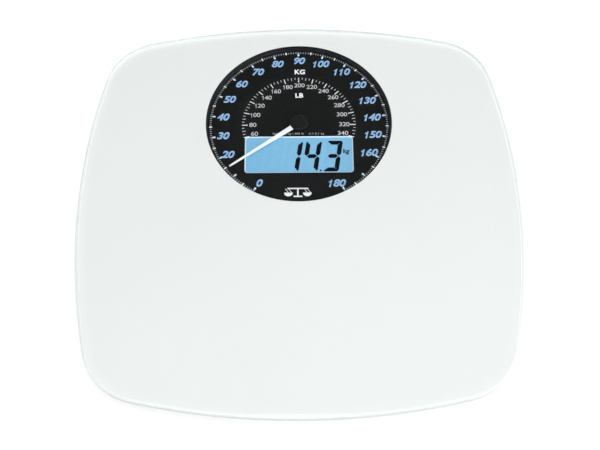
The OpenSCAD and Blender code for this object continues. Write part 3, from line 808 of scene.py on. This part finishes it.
segments = []
for digit, x in digit_places.items():
    segments += digit_outlines(lit_segments[digit], x)
dot_x, dot_y = dial.x + 15.5 * MM, dial.y - 39.3 * MM
segments.append(arc_points(dot_x, dot_y, 0.75 * MM, 0, 360, 20))
lcd_ink = ink("lcd_dark", (0.0015, 0.0025, 0.0045), (0.0025, 0.0035, 0.006))
set_inputs(lcd_ink.node_tree.nodes["Principled BSDF"], Specular_IOR_Level=0.08)
segment_mesh = flat_shape("lcd_segments", segments, sheet_z, sheet_z + sheet_t)
add_piece("lcd_segments", segment_mesh, lcd_ink, "platform")
unit_mesh = letters("kg", 3.8 * MM, slant=0.12, heavy=0.045, thick=sheet_t)
unit_mesh.transform(Matrix.Translation((dial.x + 34.0 * MM, dial.y - 23.1 * MM, sheet_z + sheet_t / 2)))
unit_ink = ink("lcd_unit", (0.008, 0.02, 0.04), (0.012, 0.026, 0.05))
add_piece("lcd_unit", unit_mesh, unit_ink, "platform")

# Segments that are off still show, as a slightly darker blue on the lit panel
off = []
for x in (-18.05 * MM, -31.75 * MM):
    off += digit_outlines("abcdefg", x)
for digit, x in digit_places.items():
    off += digit_outlines([s for s in "abcdefg" if s not in lit_segments[digit]], x)
ghost = backlit("lcd_off", (0.152, 0.358, 0.548), (0.170, 0.382, 0.575))
add_piece("lcd_unlit_segments", flat_shape("lcd_unlit_segments", off, sheet_z, sheet_z + 0.5 * sheet_t),
          ghost, "platform")


# Pale bevel round the window: it slopes from the dial face down to the lit panel
def round_rectangle(low, high, r):
    """Closed outline of a rectangle between two corners, its own corners rounded to r."""
    points = []
    for x, y, turn_at in ((high.x - r, high.y - r, 0), (low.x + r, high.y - r, 90),
                          (low.x + r, low.y + r, 180), (high.x - r, low.y + r, 270)):
        points += arc_points(x, y, r, turn_at, turn_at + 90, 8)
        points.append((x + r * cos(radians(turn_at + 90)), y + r * sin(radians(turn_at + 90))))
    return points


panel_reach = 4 * MM  # the LCD panel runs this far under the dial face on every side
window_corner = 2.5 * MM
bevel_rings = []
bevel_out, bevel_in, bevel_foot = 0.03 * MM, 0.75 * MM, sheet_z + 0.01 * MM
for inset, z in ((bevel_out, dial.z - 0.05 * MM), (bevel_in, sheet_z + 0.15 * MM),
                 (bevel_in, bevel_foot), (bevel_out, bevel_foot)):
    inward = Vector((panel_reach + inset, panel_reach + inset, 0))
    ring = round_rectangle(lcd_low + inward, lcd_high - inward, window_corner - inset)
    bevel_rings.append([(x, y, z) for x, y in ring])
bevel_ink = ink("window_bevel", (0.62, 0.76, 0.86), (0.68, 0.80, 0.89))
add_piece("window_bevel", frame_band("window_bevel", bevel_rings), bevel_ink, "platform")


# ---- Pointer --------------------------------------------------------------------------
# White lacquered needle, chamfered along both edges and tapering to the tip, pressed on
# the motor's shaft under a black cap.
needle_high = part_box("pointer")[1]
cap_low, cap_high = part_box("hub_cap")
shown_kg = 14.3
needle_z0 = cap_low.z + 0.4 * MM
needle_z1 = needle_high.z
hub_half, tip_y, chamfer = 2.0, 62, 0.3  # millimetres
needle_plan = [(-hub_half, -4), (hub_half, -4), (1.85, 8), (0.55, tip_y), (-0.55, tip_y), (-1.85, 8)]
rings = []
for z, inset in ((needle_z0, 0.0), (needle_z1 - chamfer * MM, 0.0), (needle_z1, chamfer)):
    pull = {-4: -inset, 8: 0, tip_y: inset}
    rings.append([(x * (1 - inset / hub_half) * MM, (y - pull[y]) * MM, z) for x, y in needle_plan])
needle_mesh = loft("needle", rings, smooth=False)
shown_turn = Matrix.Rotation(-scale_angle(shown_kg), 4, "Z")
needle_mesh.transform(Matrix.Translation((dial.x, dial.y, 0)) @ shown_turn)
lacquer = moulded("white_lacquer", (0.86, 0.88, 0.90), (0.93, 0.94, 0.96), 0.3, 1500.0, 0.02)


def lathe(name, profile, centre, steps=96):
    """Turned solid: profile is (radius, height) from the axis, down the outside and back."""
    work = bmesh.new()
    rings = []
    for r, z in profile:
        if r < 1e-7:
            rings.append([work.verts.new((centre[0], centre[1], z))])
        else:
            around = [2 * pi * k / steps for k in range(steps)]
            rings.append([work.verts.new((centre[0] + r * cos(a), centre[1] + r * sin(a), z))
                          for a in around])
    count = len(rings)
    for i in range(count):
        a, b = rings[i], rings[(i + 1) % count]
        if len(a) == 1 and len(b) == 1:
            continue
        for k in range(steps):
            m = (k + 1) % steps
            corners = [a[k % len(a)], a[m % len(a)], b[m % len(b)], b[k % len(b)]]
            unique = []
            for v in corners:
                if v not in unique:
                    unique.append(v)
            work.faces.new(unique)
    bmesh.ops.recalc_face_normals(work, faces=work.faces)
    mesh = finished(work, name)
    mesh.shade_smooth()
    mesh.set_sharp_from_angle(angle=radians(32))
    return mesh


add_piece("needle", needle_mesh, lacquer, "pointer", ["pointer"])
cap_r = (cap_high.x - cap_low.x) / 2
cap_top = cap_high.z
cap_profile = [(0, cap_low.z), (cap_r - 0.3 * MM, cap_low.z), (cap_r, cap_low.z + 0.3 * MM)]
cap_round = 1.2 * MM
for step in range(0, 91, 15):
    a = radians(step)
    cap_profile.append((cap_r - cap_round * (1 - cos(a)), cap_top - cap_round + cap_round * sin(a)))
cap_profile += [(cap_r * 0.55, cap_top - 0.12 * MM), (0, cap_top - 0.18 * MM)]
cap_black = moulded("cap_black", (0.0030, 0.0030, 0.0034), (0.0045, 0.0045, 0.005), 0.42)
set_inputs(cap_black.node_tree.nodes["Principled BSDF"], Specular_IOR_Level=0.25)
cap_mesh = lathe("pointer_cap", cap_profile, dial)
add_piece("pointer_cap", cap_mesh, cap_black, "pointer", ["hub_cap"])


# ---- Gauge motor ----------------------------------------------------------------------
# Small stepper in a two-part moulded case: a magnet rotor between wound poles drives two
# acetal wheels, and the last wheel's long shaft carries the pointer.
finish_nodes(moulded("motor_case", (0.17, 0.17, 0.18), (0.21, 0.21, 0.22), 0.5), "motor_base", "motor_lid")
finish_nodes(moulded("copper_winding", (0.55, 0.24, 0.09), (0.75, 0.36, 0.15), 0.3, 4000.0, 0.5, 1.0),
             "motor_coils")
finish_nodes(moulded("core_steel", (0.42, 0.42, 0.44), (0.52, 0.52, 0.54), 0.35, 900.0, 0.1, 1.0),
             "motor_stator")
finish_nodes(moulded("bonded_magnet", (0.06, 0.06, 0.065), (0.09, 0.09, 0.095), 0.5, 2200.0, 0.2, 0.4),
             "rotor")
finish_nodes(moulded("acetal", (0.74, 0.74, 0.69), (0.80, 0.80, 0.75), 0.32),
             "intermediate_wheel", "pointer_wheel")


# ---- Circuit board --------------------------------------------------------------------
# Round glass-laminate board under green solder mask, held by four screws to the chassis.
# It carries the chips, the four sensor sockets and the switch for the unit button.
finish_nodes(moulded("solder_mask", (0.012, 0.10, 0.035), (0.02, 0.15, 0.06), 0.3, 600.0, 0.08),
             "main_board")
finish_nodes(moulded("chip_epoxy", (0.018, 0.018, 0.019), (0.03, 0.03, 0.032), 0.55),
             "board_chips", "tact_switch")
finish_nodes(moulded("socket_nylon", (0.72, 0.69, 0.58), (0.80, 0.77, 0.66), 0.4), "sensor_connectors")
zinc = moulded("zinc_plate", (0.50, 0.51, 0.53), (0.62, 0.63, 0.65), 0.32, 1500.0, 0.06, 1.0)
finish_nodes(zinc, "board_screws", "housing_screws")


# ---- Rear housing ---------------------------------------------------------------------
# White ABS tray, spark-textured outside, with the battery bay, the channel for its cover
# and six screw towers. Raised signs name the button and show which way the cover slides,
# and a silver label gives the rating, all to be read from underneath.
white_abs = moulded("white_abs", (0.70, 0.71, 0.71), (0.745, 0.755, 0.755), 0.5, 1400.0, 0.12)
finish_nodes(white_abs, "rear_housing", "battery_cover", "lead_channel_left", "lead_channel_right")
finish_nodes(moulded("button_rubber", (0.24, 0.25, 0.26), (0.29, 0.30, 0.31), 0.6, 1600.0, 0.2),
             "unit_button")
button_low, button_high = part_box("unit_button")
cover_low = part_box("battery_cover")[0]
floor_z = 5 * MM
raised = 0.25 * MM


def words_below(text, height, x, y, top, thick):
    """Text that hangs under a surface at height top and reads from the front underneath."""
    mesh = letters(text, height, thick=thick, spacing=1.1)
    mesh.transform(Matrix.Translation((x, y, top - thick / 2)) @ Matrix.Rotation(pi, 4, "X"))
    return mesh


def joined(name, meshes):
    work = bmesh.new()
    for mesh in meshes:
        work.from_mesh(mesh)
        bpy.data.meshes.remove(mesh)
    bmesh.ops.remove_doubles(work, verts=work.verts, dist=1e-7)
    return finished(work, name)


button_x = middle(button_low, button_high)[0]
sign_grey = moulded("sign_grey", (0.30, 0.31, 0.32), (0.35, 0.36, 0.37), 0.5)
button_sign = words_below("UNIT", 3.2 * MM, button_x, button_high.y + 2.5 * MM, floor_z, raised)
add_piece("button_sign", button_sign, sign_grey, "platform")

arrow_y = cover_low.y + 29 * MM
arrow = [(0, -7), (5, 0), (2, 0), (2, 8), (-2, 8), (-2, 0), (-5, 0)]
arrow = [(dial.x + x * MM, arrow_y + y * MM) for x, y in arrow]
arrow_mesh = plate_with_holes("cover_arrow", [arrow], cover_low.z - raised, cover_low.z)
add_piece("cover_arrow", arrow_mesh, sign_grey, "battery_cover")

label_x, label_y = dial.x - 6 * MM, dial.y + 31 * MM
label_half = Vector((30 * MM, 12 * MM, 0))
label_middle = Vector((label_x, label_y, 0))
label_t = 0.1 * MM
label_edge = round_rectangle(label_middle - label_half, label_middle + label_half, 2 * MM)
label_foil = moulded("label_foil", (0.50, 0.51, 0.52), (0.58, 0.59, 0.60), 0.34, 260.0, 0.03, 0.7)
add_piece("rating_label", plate_with_holes("rating_label", [label_edge], floor_z - label_t, floor_z),
          label_foil, "platform")
label_lines = (("BATHROOM SCALE", 3.4, 5.8), ("MAX 180 kg / 400 lb    d = 0.1 kg", 2.2, -0.6),
               ("3 x 1.5 V  AAA", 2.2, -5.6))
line_meshes = [words_below(text, tall * MM, label_x, label_y - up * MM, floor_z - label_t, 0.03 * MM)
               for text, tall, up in label_lines]
label_ink = ink("label_ink", (0.02, 0.02, 0.022), (0.035, 0.035, 0.038))
add_piece("rating_lines", joined("rating_lines", line_meshes), label_ink, "platform")


# ---- Batteries ------------------------------------------------------------------------
# Three AAA cells between nickel springs and contact plates. Each has a plain blue sleeve,
# a silver band towards its button end and a bare can at both ends.
nickel = moulded("nickel_plate", (0.62, 0.60, 0.54), (0.72, 0.70, 0.64), 0.22, 1500.0, 0.04, 1.0)
finish_nodes(nickel, "battery_springs", "battery_contacts")
sleeve = moulded("battery_sleeve", (0.04, 0.13, 0.30), (0.06, 0.17, 0.37), 0.28, 500.0, 0.04)
sleeve_band = moulded("sleeve_band", (0.50, 0.51, 0.53), (0.60, 0.61, 0.63), 0.25, 500.0, 0.04, 0.6)
nickel_can = moulded("nickel_can", (0.60, 0.60, 0.60), (0.70, 0.70, 0.70), 0.24, 1500.0, 0.04, 1.0)


def cell_rings(mesh, further, limits):
    """Gives each stretch of a turned cell its own material, by distance along the axis."""
    for material in further:
        mesh.materials.append(material)
    for face in mesh.polygons:
        face.material_index = sum(face.center.z > limit for limit in limits)


for number in (1, 2, 3):
    node = "battery_%d" % number
    cell_low, cell_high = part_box(node)
    cell_r = (cell_high.z - cell_low.z) / 2
    cell_x, cell_y = middle(cell_low, cell_high)
    half = (cell_high.x - cell_low.x) / 2
    towards = 1 if cell_high.x + cell_low.x > 2 * dial.x else -1
    flat, shoulder, tip = -half, half - 0.9 * MM, half
    crimp, band_at = 0.35 * MM, shoulder - 11.5 * MM
    cell_profile = [
        (0, flat), (cell_r - 1.2 * MM, flat), (cell_r - crimp, flat + 0.15 * MM),
        (cell_r - crimp, flat + 0.5 * MM), (cell_r, flat + 0.9 * MM), (cell_r, band_at),
        (cell_r, shoulder - 1.1 * MM), (cell_r - crimp, shoulder - 0.6 * MM),
        (cell_r - 1.1 * MM, shoulder - 0.05 * MM), (cell_r - 1.5 * MM, shoulder - 0.2 * MM),
        (1.9 * MM, shoulder - 0.2 * MM), (1.9 * MM, tip - 0.25 * MM), (1.6 * MM, tip), (0, tip)]
    cell_mesh = lathe("cell_%d" % number, cell_profile, (0, 0), 64)
    place = (Matrix.Translation((cell_x, cell_y, cell_low.z + cell_r))
             @ Matrix.Rotation(radians(90 * towards), 4, "Y"))
    add_piece("cell_%d" % number, cell_mesh, nickel_can, "platform", [node])
    cell_rings(cell_mesh, (sleeve, sleeve_band, nickel_can),
               (flat + 0.3 * MM, band_at, shoulder - 0.1 * MM))
    cell_mesh.transform(place)


# ---- Feet -----------------------------------------------------------------------------
# Each foot is a white puck bonded under the glass. Inside it a slotted steel load cell
# bears on two rails, held by a clamp, and a stepped cup on a ribbed rubber pad presses it.
corners = ("front_left", "front_right", "rear_left", "rear_right")
cell_steel = moulded("cell_steel", (0.34, 0.35, 0.37), (0.44, 0.45, 0.47), 0.35, 1200.0, 0.08, 1.0)
clamp_grey = moulded("clamp_grey", (0.52, 0.53, 0.54), (0.58, 0.59, 0.60), 0.5)
cup_grey = moulded("cup_grey", (0.60, 0.61, 0.62), (0.66, 0.67, 0.68), 0.48, 1400.0, 0.12)
pad_rubber = moulded("pad_rubber", (0.10, 0.105, 0.11), (0.14, 0.145, 0.15), 0.8, 900.0, 0.3)
potting = moulded("gauge_potting", (0.74, 0.73, 0.68), (0.80, 0.79, 0.74), 0.55, 700.0, 0.4)
jacket = moulded("lead_jacket", (0.09, 0.09, 0.095), (0.13, 0.13, 0.135), 0.5, 1500.0, 0.08)
finish_nodes(potting, "strain_gauges")
for corner in corners:
    finish_nodes(white_abs, "foot_carrier_" + corner)
    finish_nodes(clamp_grey, "load_cell_clamp_" + corner)
    finish_nodes(cup_grey, "foot_cup_" + corner)
    finish_nodes(jacket, "sensor_lead_" + corner)

# Load cells: a stiff frame, and a tongue, a still piece of its own, that in the real cell
# gives half a millimetre as the foot is pressed. Each points at the dial, as its lead does.
cell_half = Vector((15 * MM, 15 * MM))
slot_low = Vector((-10.5 * MM, -8.9 * MM))
slot_high = Vector((8 * MM, 8.9 * MM))
tongue_end, tongue_half, tongue_r = -8.7 * MM, 7.1 * MM, 1.2 * MM
frame_edges = [round_rectangle(-cell_half, cell_half, 1.5 * MM),
               round_rectangle(slot_low, slot_high, 0.8 * MM)]
tongue_edge = [(slot_high.x, -tongue_half), (slot_high.x, tongue_half)]
tongue_edge += arc_points(tongue_end + tongue_r, tongue_half - tongue_r, tongue_r, 90, 180, 6)
tongue_edge += arc_points(tongue_end + tongue_r, tongue_r - tongue_half, tongue_r, 180, 270, 6)
tongue_edge.append((tongue_end + tongue_r, -tongue_half))
for corner in corners:
    node = "load_cell_" + corner
    cell_low, cell_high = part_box(node)
    x, y = middle(cell_low, cell_high)
    place = Matrix.Translation((x, y, 0)) @ Matrix.Rotation(atan2(dial.y - y, dial.x - x), 4, "Z")
    frame_mesh = plate_with_holes("cell_frame_" + corner, frame_edges, cell_low.z, cell_high.z)
    frame_mesh.transform(place)
    add_piece("cell_frame_" + corner, frame_mesh, cell_steel, "platform", [node])
    tongue_mesh = plate_with_holes("cell_tongue_" + corner, [tongue_edge], cell_low.z, cell_high.z)
    tongue_mesh.transform(place)
    tongue = add_piece("cell_tongue_" + corner, tongue_mesh, cell_steel, "platform")
    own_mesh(tongue)

# Pads: a boss, two rings and an outer rim stand on the floor, with fine radial ribs between
tread_depth = 0.6 * MM
pad_edge = 0.8 * MM
rim_inner = 16.9
slope = 0.2
ring_edges = ((0, 3.2), (7.4, 9.0), (13.2, 14.8))
for corner in corners:
    pad_low, pad_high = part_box("foot_pad_" + corner)
    pad_x, pad_y = middle(pad_low, pad_high)
    pad_r = (pad_high.x - pad_low.x) / 2
    pad_profile = [(0, pad_high.z), (pad_r, pad_high.z), (pad_r, pad_low.z + pad_edge)]
    groove_z = pad_low.z + tread_depth
    pad_profile += [(pad_r - pad_edge, pad_low.z), (rim_inner * MM, pad_low.z),
                    ((rim_inner - slope) * MM, groove_z)]
    for inner, outer in reversed(ring_edges):
        pad_profile += [((outer + slope) * MM, groove_z), (outer * MM, pad_low.z)]
        if inner:
            pad_profile += [(inner * MM, pad_low.z), ((inner - slope) * MM, groove_z)]
    pad_profile.append((0, pad_low.z))
    pad_mesh = lathe("pad_" + corner, pad_profile, (pad_x, pad_y))
    add_piece("pad_" + corner, pad_mesh, pad_rubber, "foot_" + corner, ["foot_pad_" + corner])
    for row, (count, radius, along) in enumerate(((36, 5.3, 3.6), (60, 11.1, 3.6))):
        grown_piece("ribs_%s_%d" % (corner, row + 1), bars, {
            "Count": count, "Middle Radius": radius * MM, "Start Angle": radians(3), "Skip Every": skip_first,
            "Step Angle": 2 * pi / (count - 1), "Bar Size": (0.45 * MM, along * MM, tread_depth),
            "Centre": (pad_x, pad_y, pad_low.z + 0.15 * MM + tread_depth / 2), "Finish": pad_rubber},
            "foot_" + corner)
